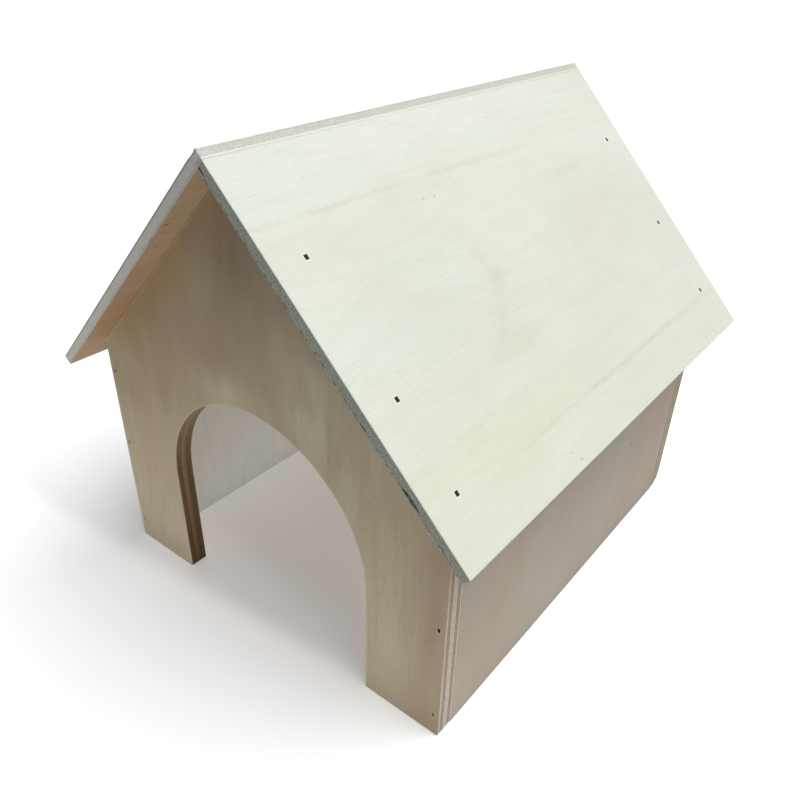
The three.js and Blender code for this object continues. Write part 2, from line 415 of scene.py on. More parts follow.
def pit_stations(centres, halves):
    """Grid lines for pits: one on each side of every wall, and a few outside it for the lip."""
    lean = PIT_WALL_LEAN / 2
    offsets = np.array([-lean, lean, *LIP_STATIONS])
    walls = np.concatenate([halves[:, None] + offsets, -halves[:, None] - offsets], axis=1)
    return (centres[:, None] + walls).ravel()


def beyond_pit(places, pit):
    """How far each place lies outside a pit's walls, along and across, less than 0 inside them."""
    return np.abs(places - pit[:2]) - pit[2:4]


def pit_depth(plane, pits, lip):
    """How deep the outer face lies at each grid point: a flat floor inside a pit's walls, and a lip
    outside them that dies away as an exponential of the distance."""
    depth = np.zeros(plane.shape[:2])
    for pit in pits:
        beyond = beyond_pit(plane, pit)
        distance = np.linalg.norm(np.maximum(beyond, 0), axis=-1)
        inside = (beyond < 0).all(axis=-1)
        depth = np.where(inside, pit[4], depth - lip * np.exp(-distance / LIP_STATIONS[1]))
    return depth


def round_corner(plane, corner, inwards, radius):
    """Wraps the square at a corner onto a quarter disc: with x and y counted in radii from the
    disc's centre, x becomes x * sqrt(1 - y^2 / 2) and y becomes y * sqrt(1 - x^2 / 2)."""
    inside = (plane - corner) * inwards
    share = np.clip(1 - inside / radius, 0, 1)
    wrapped = share * np.sqrt(1 - share[..., ::-1] ** 2 / 2)
    return plane + (share - wrapped) * radius * inwards


def border(rows, columns):
    """A grid's border points as indices, in order round it."""
    index = np.arange(rows * columns).reshape(rows, columns)
    return np.concatenate([index[:, 0], index[-1, 1:], index[-2::-1, -1], index[0, -2:0:-1]])


def inward_mitre(loop):
    """The move at each point of a closed outline that takes both its sides one unit inwards."""
    ahead = np.roll(loop, -1, axis=0) - loop
    area = (loop[:, 0] * ahead[:, 1] - loop[:, 1] * ahead[:, 0]).sum()
    ahead /= np.linalg.norm(ahead, axis=1, keepdims=True)
    normal = np.stack([-ahead[:, 1], ahead[:, 0]], axis=1) * np.sign(area)
    before = np.roll(normal, 1, axis=0)
    return (normal + before) / (1 + (normal * before).sum(axis=1, keepdims=True))


@dataclass
class Tear:
    """A torn spot on a panel's rim: its place on the outline, its half length along it, the depth
    of its middle, its half reach in depth, how far it goes in, and how much painted shade darkens it."""

    place: tuple
    half_length: float
    depth: float
    half_depth: float
    inwards: float
    painted_shade: float = 0.85


ROOF_TEARS = {
    "right": (
        Tear((0, 127.2 * MM), 3.8 * MM, 3.5 * MM, 0.42 * MM, 1.3 * MM),
        Tear((0, 123.5 * MM), 1.6 * MM, 4.2 * MM, 0.35 * MM, 0.9 * MM),
        Tear((0, 135.5 * MM), 1.9 * MM, 4.4 * MM, 0.35 * MM, 0.8 * MM),
        Tear((0, 146.0 * MM), 1.6 * MM, 4.2 * MM, 0.6 * MM, 0.9 * MM),
        Tear((0, 150.5 * MM), 1.4 * MM, 4.4 * MM, 0.3 * MM, 0.5 * MM),
        Tear((0, 98.0 * MM), 2.6 * MM, 4.3 * MM, 0.3 * MM, 0.5 * MM),
        Tear((0, 1.0 * MM), 1.8 * MM, 3.6 * MM, 0.4 * MM, 0.8 * MM),
    ),
    "left": (
        Tear((0, 50.0 * MM), 2.4 * MM, 4.5 * MM, 0.4 * MM, 0.5 * MM, 0.3),
        Tear((0, 86.0 * MM), 1.6 * MM, 4.6 * MM, 0.3 * MM, 0.5 * MM, 0.3),
        Tear((0, 3.4 * MM), 2.0 * MM, 0.2 * MM, 0.5 * MM, 0.5 * MM, 0.35),
    ),
}


def rim_profile(loop, thick, joints, torn_plies, tears, rng, sizes):
    """Insets, depths and painted shades of the rings round a panel's edge, as arrays of rings by
    outline points.

    The profile is a quarter circle over each arris and upright between them. A glue line is a
    groove, a ply that shows end grain is torn in by noise, and a tear is a smooth hump both ways,
    the exponential of minus the fourth power of the distance, darkened with painted shade."""
    joints = np.array(joints) * thick
    turn = np.linspace(0, math.pi / 2, ARRIS_STEPS)
    over = sizes.arris * (1 - np.cos(turn))
    grooves = np.ravel(joints[:, None] + [-JOINT_REACH, 0, JOINT_REACH])
    even = np.linspace(sizes.arris, thick - sizes.arris, round(thick / sizes.rim_step))[1:-1]
    even = even[np.abs(even[:, None] - grooves).min(axis=1) > JOINT_REACH]
    side = np.sort(np.concatenate([grooves, even]))
    depth = np.concatenate([over, side, thick - over[::-1]])
    inset = np.concatenate([over[::-1], np.zeros(len(side)), over])

    noise = rng.random((len(depth), len(loop)))
    noise = (noise + np.roll(noise, 1, axis=1)) / 2
    from_joint = np.abs(depth[:, None] - joints).min(axis=1)
    on_joint = from_joint < JOINT_REACH / 2
    torn = np.isin(np.searchsorted(joints, depth), torn_plies) & ~on_joint
    rings = inset[:, None] + torn[:, None] * noise * sizes.rough
    rings += on_joint[:, None] * (GROOVE_LEAST + noise) * sizes.groove
    shade = np.ones(rings.shape)
    for tear in tears:
        away = np.linalg.norm(loop - tear.place, axis=1) / tear.half_length
        reach = (depth[:, None] - tear.depth) / tear.half_depth
        hump = np.exp(-(away**4)) * np.exp(-(reach**4))
        rings += tear.inwards * (TEAR_LEAST + TEAR_NOISE * noise) * hump
        # painted shade in the tear
        shade *= 1 - tear.painted_shade * hump
    return rings, np.repeat(depth[:, None], len(loop), axis=1), shade


def facing_out(points, quads):
    """The same faces, turned round if they give the closed surface a negative volume."""
    a, b, c, d = (points[quads[:, k]] for k in range(4))
    volume = (a * np.cross(b, c)).sum() + (a * np.cross(c, d)).sum()
    return quads if volume > 0 else quads[:, ::-1]


def put_mesh(name, points, quads):
    """A new smooth object at the origin, from rows of points and rows of four corners."""
    mesh = bpy.data.meshes.new(name)
    mesh.vertices.add(len(points))
    mesh.vertices.foreach_set("co", points.astype(np.float32).ravel())
    mesh.loops.add(quads.size)
    mesh.loops.foreach_set("vertex_index", quads.astype(np.int32).ravel())
    mesh.polygons.add(len(quads))
    mesh.polygons.foreach_set("loop_start", np.arange(0, quads.size, 4, dtype=np.int32))
    mesh.update(calc_edges=True)
    mesh.shade_smooth()
    piece = bpy.data.objects.new(name, mesh)
    bpy.context.scene.collection.objects.link(piece)
    return piece


def keep_attribute(piece, name, kind, field, values):
    attribute = piece.data.attributes.new(name, kind, "POINT")
    attribute.data.foreach_set(field, values.astype(np.float32).ravel())


def grid_quads(rows, columns, start=0):
    """A grid's faces, each as the indices of its four corners in order."""
    index = start + np.arange(rows * columns).reshape(rows, columns)
    corners = [index[:-1, :-1], index[1:, :-1], index[1:, 1:], index[:-1, 1:]]
    return np.stack(corners, axis=-1).reshape(-1, 4)


def with_depth(places, depth):
    """Places along and across, with a depth each, as rows of a panel's own coordinates."""
    return np.concatenate([places.reshape(-1, 2), np.ravel(depth)[:, None]], axis=1)


def panel(name, board, plane, joints, torn_plies, tears=(), patina_and_shade=None, shape=None):
    """A panel as one closed surface: a grid for the outer face, the same grid for the inner face,
    and between their borders a profile carried round the outline. Shape, where one is given, then
    moves its points.

    It keeps three attributes for its plywood: board, its own coordinates; end_grain, how squarely
    the rim faces along the face grain; and patina_and_shade, a colour to multiply by, which holds real
    patina and painted shade in pits, tears, at the foot and in the doorway."""
    sizes = bpy.context.scene.house_sizes
    rng = np.random.default_rng(sizes.seed + len(name))
    rows, columns = plane.shape[:2]
    edge = border(rows, columns)
    loop = plane.reshape(-1, 2)[edge]
    mitre = inward_mitre(loop)
    rings, depths, shade = rim_profile(loop, board.thick, joints, torn_plies, tears, rng, sizes)
    ring_points = np.stack([with_depth(loop + mitre * r[:, None], d) for r, d in zip(rings, depths)])

    pits = board.pits()
    outer = with_depth(plane, pit_depth(plane, pits, sizes.lip))
    inner = with_depth(plane, np.full(rows * columns, board.thick))
    outer[edge], inner[edge] = ring_points[0], ring_points[-1]
    points = np.concatenate([outer, inner, ring_points[1:-1].reshape(-1, 3)])

    count = rows * columns
    between = 2 * count + np.arange((len(rings) - 2) * len(edge)).reshape(-1, len(edge))
    index = np.concatenate([edge[None], between, count + edge[None]])
    after = np.roll(index, -1, axis=1)
    rim = np.stack([index[:-1], index[1:], after[1:], after[:-1]], axis=-1).reshape(-1, 4)
    quads = np.concatenate([grid_quads(rows, columns), grid_quads(rows, columns, count)[:, ::-1], rim])

    placed = board.world(shape(points) if shape else points)
    piece = put_mesh(name, placed, facing_out(placed, quads))
    squareness = np.zeros(len(points))
    squareness[index] = np.abs(mitre[:, 0]) / np.linalg.norm(mitre, axis=1)
    tint = np.ones((len(points), 4))
    tint[:, :3] = pit_tint(points, pits, -board.axes[:2, 2])
    tint[index, :3] *= shade[..., None]
    if patina_and_shade:
        tint[:, :3] *= patina_and_shade(points)
    keep_attribute(piece, "board", "FLOAT_VECTOR", "vector", points)
    keep_attribute(piece, "end_grain", "FLOAT", "value", squareness)
    keep_attribute(piece, "patina_and_shade", "FLOAT_COLOR", "color", tint)
    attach(piece, "root")
    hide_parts(board.node)
    return piece


def pit_tint(points, pits, downhill):
    """Painted shade inside a pit, or brown where dust fills it. Round it pale bruised fibres with a
    painted highlight, by a bell curve of the distance to its wall as it would stand a little downhill."""
    tint = np.ones((len(points), 3))
    for pit in pits:
        places = points[:, :2]
        bruise_and_highlight = beyond_pit(places - PIT_BRUISE_AND_HIGHLIGHT_DROP * downhill, pit)
        distance = np.linalg.norm(np.maximum(bruise_and_highlight, 0), axis=-1)
        tint += PIT_PALENESS * np.exp(-((distance / PIT_PALE_REACH) ** 2))[:, None]
        inside = (beyond_pit(places, pit) < PIT_WALL_LEAN).all(axis=-1) & (points[:, 2] <= pit[4])
        # painted shade in an open pit, dust in a filled one
        tint[inside] = PIT_SHADE if pit[4] > PIT_SEAT else FILLED_TINT
    return tint


def torn_stations(tear):
    """Close grid lines across, for a tear in the front edge."""
    return tear.place[1] + tear.half_length * np.linspace(-TEAR_REACH, TEAR_REACH, TEAR_LINES)


def sheet_plane(board, step, fine=()):
    """A rectangle: every line along crossed with every line across, with fine lines across."""
    pits = board.pits()
    along = stations(board.along, step, pit_stations(pits[:, 0], pits[:, 2]))
    across = stations(board.across, step, [*pit_stations(pits[:, 1], pits[:, 3]), *fine])
    return np.stack(np.meshgrid(along, across, indexing="ij"), axis=-1)


def seat_under_roof(plane, board):
    """Lifts the gable's slopes until they touch the roof sheets: whole at the slope, and less in
    proportion to the height below it, down to nothing TOP_BAND lower."""
    top = EAVES + np.minimum(plane[..., 1], board.across - plane[..., 1]) * math.tan(PITCH)
    share = np.clip(1 - (top - plane[..., 0]) / TOP_BAND, 0, 1)
    return plane + np.stack([share * SEAT_LIFT, np.zeros_like(share)], axis=-1)


def back_gable_plane(board, step):
    """Lines across stand upright. Lines along are level up to LEVEL_TOP, keep their distance to the
    slopes within TOP_BAND of them, and share out the height between those in proportion."""
    pits = board.pits()
    lines = stations(board.along, step, pit_stations(pits[:, 0], pits[:, 2]))[:, None]
    across = stations(board.across, step, [*pit_stations(pits[:, 1], pits[:, 3]), board.across / 2])
    top = EAVES + np.minimum(across, board.across - across) * math.tan(PITCH)
    share = (lines - LEVEL_TOP) / (board.along - TOP_BAND - LEVEL_TOP)
    between = LEVEL_TOP + share * (top - TOP_BAND - LEVEL_TOP)
    under_slope = top - (board.along - lines)
    along = np.where(lines <= LEVEL_TOP, lines, np.where(share <= 1, between, under_slope))
    return np.stack([along, np.broadcast_to(across, along.shape)], axis=-1)


def doorway():
    """The doorway's half width and the height of its straight jambs, from the front gable's points."""
    points = node_points("front_wall")
    at_ground = points[points[:, 2] < GROUND_REACH]
    half = np.abs(at_ground[:, 0]).min()
    crown = points[np.abs(points[:, 0]) < CROWN_REACH, 2].min()
    return half, crown - half


def front_gable_plane(board, step):
    """Lines run out from the doorway to the gable's outline. The outline is walked from foot to
    foot; the doorway is every point half a door away from the upright line between its jambs, and
    the one met on the way from that line to an outline point is joined to it. Near the doorway and
    near the outline the lines across keep their distance, and in between they share out the rest."""
    pits = board.pits()
    half_door, jamb = doorway()
    half = board.across / 2
    slope = half / math.cos(PITCH)
    total = 2 * (EAVES + slope)
    leg = half - half_door

    pit_lines = pit_stations(pits[:, 0], pits[:, 2])
    on_left = np.repeat(pits[:, 1] < half, len(pit_lines) // len(pits))
    kinks = [EAVES, total - EAVES, total / 2, jamb, total - jamb]
    walk = stations(total, step, [*np.where(on_left, pit_lines, total - pit_lines), *kinks])
    from_side = np.minimum(pits[:, 1], board.across - pits[:, 1])
    out = stations(leg, step, [*pit_stations(leg - from_side, pits[:, 3]), DOOR_BAND, leg - SIDE_BAND])

    side = np.where(walk < total / 2, -1, 1)
    climbed = np.minimum(walk, total - walk)
    up_slope = np.maximum(climbed - EAVES, 0)
    outline = np.stack([np.minimum(climbed, EAVES) + up_slope * math.sin(PITCH),
                        side * (half - up_slope * math.cos(PITCH))], axis=1)
    middle = np.stack([np.minimum(outline[:, 0], jamb), np.zeros(len(walk))], axis=1)
    away = outline - middle
    door = middle + half_door * away / np.linalg.norm(away, axis=1, keepdims=True)
    banded = outline + inwards_from_outline(walk, total) * SIDE_BAND
    towards = banded - door
    beside_door = door + DOOR_BAND * towards / np.linalg.norm(towards, axis=1, keepdims=True)

    knots = [0, DOOR_BAND, leg - SIDE_BAND, leg]
    shares = np.array([np.interp(out, knots, one) for one in np.eye(4)])
    plane = np.einsum("kc,kra->rca", shares, np.stack([door, beside_door, banded, outline]))
    return plane + [0, half]


def inwards_from_outline(walk, total):
    """The move that takes a point of the gable's outline one unit inwards: square to its side, plus
    a lean along it that grows from nothing, KINK_FADE away, to the tangent of half the turn at the
    corner, where both sides' moves meet in the mitre."""
    side = np.where(walk < total / 2, -1, 1)
    on_slope = np.minimum(walk, total - walk) > EAVES
    rise, reach = np.where(on_slope, math.sin(PITCH), 1), np.where(on_slope, math.cos(PITCH), 0)
    normal = np.stack([-reach, -side * rise], axis=1)
    tangent = np.stack([-side * rise, reach], axis=1)
    lean = np.zeros(len(walk))
    eaves_turn = math.pi / 2 - PITCH
    for corner, turn in ((EAVES, eaves_turn), (total - EAVES, eaves_turn), (total / 2, 2 * PITCH)):
        past = walk - corner
        nearness = np.clip(1 - np.abs(past) / KINK_FADE, 0, 1)
        lean += np.where(past > 0, 1, -1) * nearness * math.tan(turn / 2)
    return normal + tangent * lean[:, None]


# ---------------------------------------------------------------------------------------------
# Materials
# ---------------------------------------------------------------------------------------------


class Wiring:
    """A new material, and short ways to add nodes to it and join them."""

    def __init__(self, name, roughness, **constants):
        self.material = bpy.data.materials.new(name)
        self.material.use_nodes = True
        self.tree = self.material.node_tree
        self.shader = self.tree.nodes["Principled BSDF"]
        self.shader.inputs["Roughness"].default_value = roughness
        for socket, value in constants.items():
            self.shader.inputs[socket.replace("_", " ")].default_value = value

    def node(self, kind, values, **settings):
        made = self.tree.nodes.new("ShaderNode" + kind)
        for name, value in settings.items():
            setattr(made, name, value)
        for socket, value in values.items():
            self.feed(made.inputs[socket], value)
        return made

    def feed(self, socket, value):
        if isinstance(value, bpy.types.NodeSocket):
            self.tree.links.new(value, socket)
        else:
            socket.default_value = value

    def paint(self, shade):
        self.feed(self.shader.inputs["Base Color"], shade)

    def emboss(self, relief):
        """Bump from a height in metres."""
        bump = self.node("Bump", {"Height": relief, "Strength": 1.0, "Distance": 1.0})
        self.feed(self.shader.inputs["Normal"], bump.outputs[0])

    def math(self, operation, *values):
        return self.node("Math", dict(enumerate(values)), operation=operation).outputs[0]

    def plus(self, first, *others):
        for other in others:
            first = self.math("ADD", first, other)
        return first

    def times(self, first, *others):
        for other in others:
            first = self.math("MULTIPLY", first, other)
        return first

    def blend(self, share, first, second, how="MIX"):
        made = self.node("Mix", {0: share, 6: first, 7: second}, data_type="RGBA", blend_type=how)
        return made.outputs[2]

    def spread(self, value, low, high, to_low=0.0, to_high=1.0):
        """Maps low..high onto to_low..to_high with soft ends."""
        values = {"Value": value, "From Min": low, "From Max": high, "To Min": to_low, "To Max": to_high}
        return self.node("MapRange", values, interpolation_type="SMOOTHSTEP").outputs["Result"]

    def hump(self, value, centre, width):
        """A bell curve: 1 at the centre, nothing a few widths away."""
        away = self.math("DIVIDE", self.math("SUBTRACT", value, centre), width)
        return self.math("EXPONENT", self.times(away, away, -1.0))

    def noise(self, place, sizes, seed, detail=MEDIUM):
        """Clouds whose lumps are about as long along each axis as sizes says. The seed moves the
        place where they are read."""
        scale = [1 / size for size in sizes]
        moved = self.node("Mapping", {"Vector": place, "Location": (seed, seed / 2, -seed), "Scale": scale})
        clouds = self.node("TexNoise", {"Vector": moved.outputs[0], "Scale": 1.0, "Detail": detail})
        return clouds.outputs["Fac"]

    def plies(self, share, joints, colours, line, reach):
        """A colour for each ply by depth, with the glue line's own colour at each joint."""
        stops = [(0.0, colours[0])]
        for joint, above, below in zip(joints, colours, colours[1:]):
            stops += [(joint - reach, above), (joint, line), (joint + reach, below)]
        ramp = self.node("ValToRGB", {"Fac": share})
        elements = ramp.color_ramp.elements
        elements[0].position, elements[0].color = stops[0]
        elements[1].position, elements[1].color = 1.0, colours[-1]
        for position, shade in stops[1:]:
            elements.new(position).color = shade
        return ramp.outputs["Color"]


@dataclass
class Veneer:
    """One face of a panel: two shades that drift into each other, the colour of its growth rings
    and streaks, how strongly rings and fibres show, and how the warm shade grows per metre along
    the grain and across it, from a start, and its patches."""

    pale: tuple
    warm: tuple
    figure: tuple
    rings: float
    fibres: float
    warming: tuple = (0.0, 0.0)
    start: float = 0.0
    patches: tuple = ()


@dataclass
class Patch:
    """A soft area of another shade on a face: its middle along and across, its half lengths, how
    far its long axis is turned from the grain, its shade and how strong it is."""

    along: float
    across: float
    half_length: float
    half_width: float
    turn: float
    shade: tuple
    strength: float


def patched(wiring, board, shade, patches, seed):
    """Each patch is a bell curve of the distance to its middle counted in half lengths, and clouds
    break it up."""
    if not patches:
        return shade
    clouds = wiring.spread(wiring.noise(board, PATCH_BREAK_SIZE, seed, COARSE), *PATCH_BREAK)
    for patch in patches:
        values = {
            "Vector": board,
            "Location": (patch.along, patch.across, 0),
            "Rotation": (0, 0, patch.turn),
            "Scale": (patch.half_length, patch.half_width, PATCH_DEPTH),
        }
        place = wiring.node("Mapping", values, vector_type="TEXTURE").outputs[0]
        square = wiring.node("VectorMath", {0: place, 1: place}, operation="DOT_PRODUCT").outputs["Value"]
        share = wiring.times(wiring.math("EXPONENT", wiring.times(square, -1.0)), clouds, patch.strength)
        shade = wiring.blend(share, shade, patch.shade)
    return shade


def veneer_face(wiring, board, veneer, seed):
    """Rings are the contour lines of long clouds, and fibres are clouds drawn out along the grain.
    Gives the colour, and a height for the bump."""
    warming = {0: board, 1: (*veneer.warming, 0)}
    lean = wiring.node("VectorMath", warming, operation="DOT_PRODUCT").outputs["Value"]
    drift = wiring.plus(wiring.noise(board, DRIFT_SIZE, seed), lean, veneer.start)
    shade = wiring.blend(wiring.spread(drift, *DRIFT_SPAN), veneer.pale, veneer.warm)
    shade = patched(wiring, board, shade, veneer.patches, seed + SHIFTS["patches"])
    growth = wiring.noise(board, RING_SIZE, seed + SHIFTS["rings"], COARSE)
    contours = wiring.math("SINE", wiring.times(growth, RING_COUNT * math.tau))
    rings = wiring.spread(contours, *RING_SPAN, to_high=veneer.rings)
    fibres = wiring.noise(board, FIBRE_SIZE, seed + SHIFTS["fibres"], FINE)
    streaks = wiring.spread(fibres, *FIBRE_SPAN, to_high=veneer.fibres)
    feathers = wiring.noise(board, FEATHER_SIZE, seed + SHIFTS["feathers"])
    ticks = wiring.spread(feathers, *FEATHER_SPAN, to_high=veneer.fibres)
    ink = wiring.plus(rings, streaks, ticks)
    return wiring.blend(ink, shade, veneer.figure), wiring.plus(fibres, feathers)


@dataclass
class Rim:
    """A panel's sawn edge: the shares of its thickness where plies join, a colour per ply where
    the rim runs along the face grain and where it runs across, the colour of the glue, those of the
    open pores where it runs along and across, how much of them the face plies show, and how ragged
    the innermost ply is."""

    joints: tuple
    beside_grain: tuple
    across_grain: tuple
    glue: tuple
    pores: tuple
    end_pores: tuple
    face_pores: float
    ragged: float = 0.0


def sawn_rim(wiring, board, depth_share, end_grain, rim, seed):
    """Ply bands by depth, wavering a little; over them fine layers, saw marks and open pores."""
    waver = wiring.math("SUBTRACT", wiring.noise(board, WAVER_SIZE, seed, FINE), CLOUD_MIDDLE)
    share = wiring.plus(depth_share, wiring.times(waver, WAVER))
    beside = wiring.plies(share, rim.joints, rim.beside_grain, rim.glue, JOINT_SHARE)
    across = wiring.plies(share, rim.joints, rim.across_grain, rim.glue, JOINT_SHARE)
    bands = wiring.blend(end_grain, beside, across)
    layers = wiring.noise(board, LAYER_SIZE, seed + SHIFTS["layers"], FINE)
    saw = wiring.noise(board, SAW_SIZE, seed + SHIFTS["saw"])
    pores = wiring.spread(wiring.noise(board, PORE_SIZE, seed + SHIFTS["pores"], COARSE), *PORE_INK)
    mixed = wiring.plus(wiring.times(layers, LAYER_SHARE), wiring.times(saw, SAW_SHARE))
    worn = wiring.spread(mixed, *SAWN_INK)
    off_middle = wiring.math("ABSOLUTE", wiring.math("SUBTRACT", share, MIDDLE_SHARE))
    face_ply = MIDDLE_SHARE - rim.joints[0]
    shown = wiring.spread(off_middle, face_ply - JOINT_SHARE, face_ply + JOINT_SHARE, 1.0, rim.face_pores)
    ink = wiring.times(wiring.math("MAXIMUM", worn, pores), shown)
    shade = wiring.blend(ink, bands, wiring.blend(end_grain, rim.pores, rim.end_pores))
    if rim.ragged:
        innermost = wiring.spread(share, rim.joints[-1] - JOINT_SHARE, rim.joints[-1])
        clumps = wiring.noise(board, DASH_SIZE, seed + SHIFTS["dashes"])
        dashes = wiring.spread(clumps, *DASH_SPAN, to_high=rim.ragged)
        shade = wiring.blend(wiring.times(innermost, dashes), shade, rim.glue)
    return shade, wiring.math("SUBTRACT", wiring.plus(layers, saw), pores)


def inked(wiring, board, parts, shade, veneer, marks):
    """A face with its marks: their ink added up, as the share of the figure's colour."""
    if not marks:
        return shade
    ink = wiring.plus(*[mark(wiring, board, parts) for mark in marks])
    return wiring.blend(wiring.math("MINIMUM", ink, 1.0), shade, veneer.figure)


def plywood(name, thick, outer, inner, rim, seed, marks=(), inner_marks=()):
    """Bare plywood. It reads the panel's own coordinates: near either face it shows that face's
    veneer and marks, and anywhere deeper, on the rim or in a pit, the sawn plies."""
    wiring = Wiring(name, roughness=WOOD_ROUGHNESS, Specular_IOR_Level=WOOD_SPECULAR)
    board = wiring.node("Attribute", {}, attribute_name="board").outputs["Vector"]
    end_grain = wiring.node("Attribute", {}, attribute_name="end_grain").outputs["Fac"]
    patina_and_shade = wiring.node("Attribute", {}, attribute_name="patina_and_shade").outputs["Color"]
    parts = wiring.node("SeparateXYZ", {0: board}).outputs
    share = wiring.math("DIVIDE", parts["Z"], thick)
    on_inner = wiring.math("GREATER_THAN", share, MIDDLE_SHARE)

    plain, height = veneer_face(wiring, board, outer, seed)
    behind = plain
    if inner is not outer:
        behind = veneer_face(wiring, board, inner, seed + SHIFTS["inner face"])[0]
    outer_shade = inked(wiring, board, parts, plain, outer, marks)
    inner_shade = inked(wiring, board, parts, behind, inner, inner_marks)
    face = wiring.blend(on_inner, outer_shade, inner_shade)

    sawn, sawn_height = sawn_rim(wiring, board, share, end_grain, rim, seed + SHIFTS["rim"])
    from_face = wiring.math("MINIMUM", parts["Z"], wiring.math("SUBTRACT", thick, parts["Z"]))
    on_rim = wiring.spread(from_face, *VENEER_END)
    shade = wiring.blend(on_rim, face, sawn)
    # the arris shows the outer ply's sawn colour and a painted highlight
    on_arris = wiring.hump(from_face, ARRIS_MIDDLE, ARRIS_WIDTH)
    shade = wiring.blend(wiring.times(on_arris, ARRIS_PALE_AND_HIGHLIGHT), shade, rim.beside_grain[0])
    # multiplies in the patina and the painted shade
    wiring.paint(wiring.blend(1.0, shade, patina_and_shade, "MULTIPLY"))
    relief = wiring.plus(wiring.times(height, FACE_RELIEF), wiring.times(sawn_height, on_rim, RIM_RELIEF))
    wiring.emboss(relief)
    return wiring.material


def streak(across, lean, width, strength, seed, along=0.0, half_along=1.0):
    """A dark line along the grain: a bell curve about a line that wavers, broken up by long clouds
    and short ones, times a bell curve of the distance along the grain."""

    def mark(wiring, board, parts):
        waver = wiring.times(wiring.noise(board, STREAK_WAVER_SIZE, seed), STREAK_WAVER)
        line = wiring.plus(parts["Y"], waver, wiring.times(parts["X"], -lean))
        clouds = wiring.noise(board, STREAK_BREAK_SIZE, seed + SHIFTS["streak's breaks"])
        broken = wiring.spread(clouds, *STREAK_BREAK)
        wisps = wiring.noise(board, FEATHER_SIZE, seed + SHIFTS["streak's feathers"])
        feathers = wiring.spread(wisps, *STREAK_FEATHERS)
        reach = wiring.times(wiring.hump(parts["X"], along, half_along), feathers)
        return wiring.times(wiring.hump(line, across + STREAK_WAVER / 2, width), broken, reach, strength)

    return mark


def cathedral(tip, across, openness, width, strength, seed):
    """The arch where a growth ring comes up through the veneer: a bell curve about the curve
    along = tip - aside^2 / (openness + CATHEDRAL_LEAN * aside), aside being across less the
    arch's middle and the divisor at least half of openness. Clouds bend it and break it up, and it
    fades as a bell curve of aside."""

    def mark(wiring, board, parts):
        aside = wiring.math("SUBTRACT", parts["Y"], across)
        leaning = wiring.plus(wiring.times(aside, CATHEDRAL_LEAN), openness)
        widening = wiring.math("MAXIMUM", leaning, openness / 2)
        bent = wiring.times(wiring.noise(board, CATHEDRAL_BEND_SIZE, seed), CATHEDRAL_BEND)
        ring = wiring.plus(parts["X"], wiring.math("DIVIDE", wiring.times(aside, aside), widening), bent)
        clouds = wiring.noise(board, CATHEDRAL_BREAK_SIZE, seed + SHIFTS["arch's breaks"], COARSE)
        broken = wiring.spread(clouds, *CATHEDRAL_BREAK)
        line = wiring.hump(ring, tip + CATHEDRAL_BEND / 2, width)
        return wiring.times(line, broken, wiring.hump(aside, 0.0, CATHEDRAL_REACH), strength)

    return mark


def smudge(along, across, half_along, half_across, strength):
    """A soft stain: one bell curve along the grain times another across it."""

    def mark(wiring, board, parts):
        lengthwise = wiring.hump(parts["X"], along, half_along)
        return wiring.times(lengthwise, wiring.hump(parts["Y"], across, half_across), strength)

    return mark


def pin_knot(along, across, radius, strength):
    """A speck: a small smudge, a little longer along the grain than across it."""
    return smudge(along, across, radius * KNOT_LENGTH, radius, strength)


# Marks and patches, in their panel's own coordinates. Marks take their values in this order:
#   streak: across, lean, width, strength, seed, and its middle and half length along
#   cathedral: tip, across, openness, width, strength, seed
#   smudge: along, across, half length, half width, strength
#   pin_knot: along, across, radius, strength
ROOF_MARKS = (
    streak(26 * MM, 0.018, 1.2 * MM, 0.32, 4.0, 80 * MM, 130 * MM),
    streak(137 * MM, 0.0, 1.2 * MM, 0.42, 9.0, 140 * MM, 100 * MM),
    streak(120 * MM, 0.01, 2.0 * MM, 0.12, 17.0, 150 * MM, 60 * MM),
    streak(48 * MM, -0.01, 1.6 * MM, 0.12, 19.0, 190 * MM, 50 * MM),
    cathedral(98 * MM, 72 * MM, 30 * MM, 5.0 * MM, 0.2, 6.0),
    cathedral(108 * MM, 74 * MM, 40 * MM, 8 * MM, 0.07, 15.0),
    smudge(85 * MM, 104 * MM, 18 * MM, 5 * MM, 0.1),
    pin_knot(84 * MM, 36 * MM, 0.5 * MM, 0.8),
    pin_knot(91 * MM, 36.5 * MM, 0.5 * MM, 0.9),
    pin_knot(78 * MM, 151 * MM, 0.45 * MM, 0.8),
    pin_knot(81.5 * MM, 155.5 * MM, 0.5 * MM, 0.9),
)
LEFT_ROOF_MARKS = (
    streak(52 * MM, -0.01, 1.3 * MM, 0.4, 21.0),
    streak(118 * MM, 0.015, 1.2 * MM, 0.4, 27.0),
    cathedral(165 * MM, 88 * MM, 30 * MM, 2.6 * MM, 0.35, 33.0),
    pin_knot(180 * MM, 44 * MM, 0.7 * MM, 0.9),
)
SOFFIT_MARKS = (
    pin_knot(3.2 * MM, 40 * MM, 0.9 * MM, 0.9),
    pin_knot(5.5 * MM, 57 * MM, 0.8 * MM, 0.5),
    streak(44 * MM, 0.5, 0.5 * MM, 0.6, 47.0, 5 * MM, 4 * MM),
    streak(84 * MM, 0.3, 0.7 * MM, 0.3, 49.0, 4 * MM, 5 * MM),
    streak(100 * MM, 0.0, 1.0 * MM, 0.25, 45.0),
)
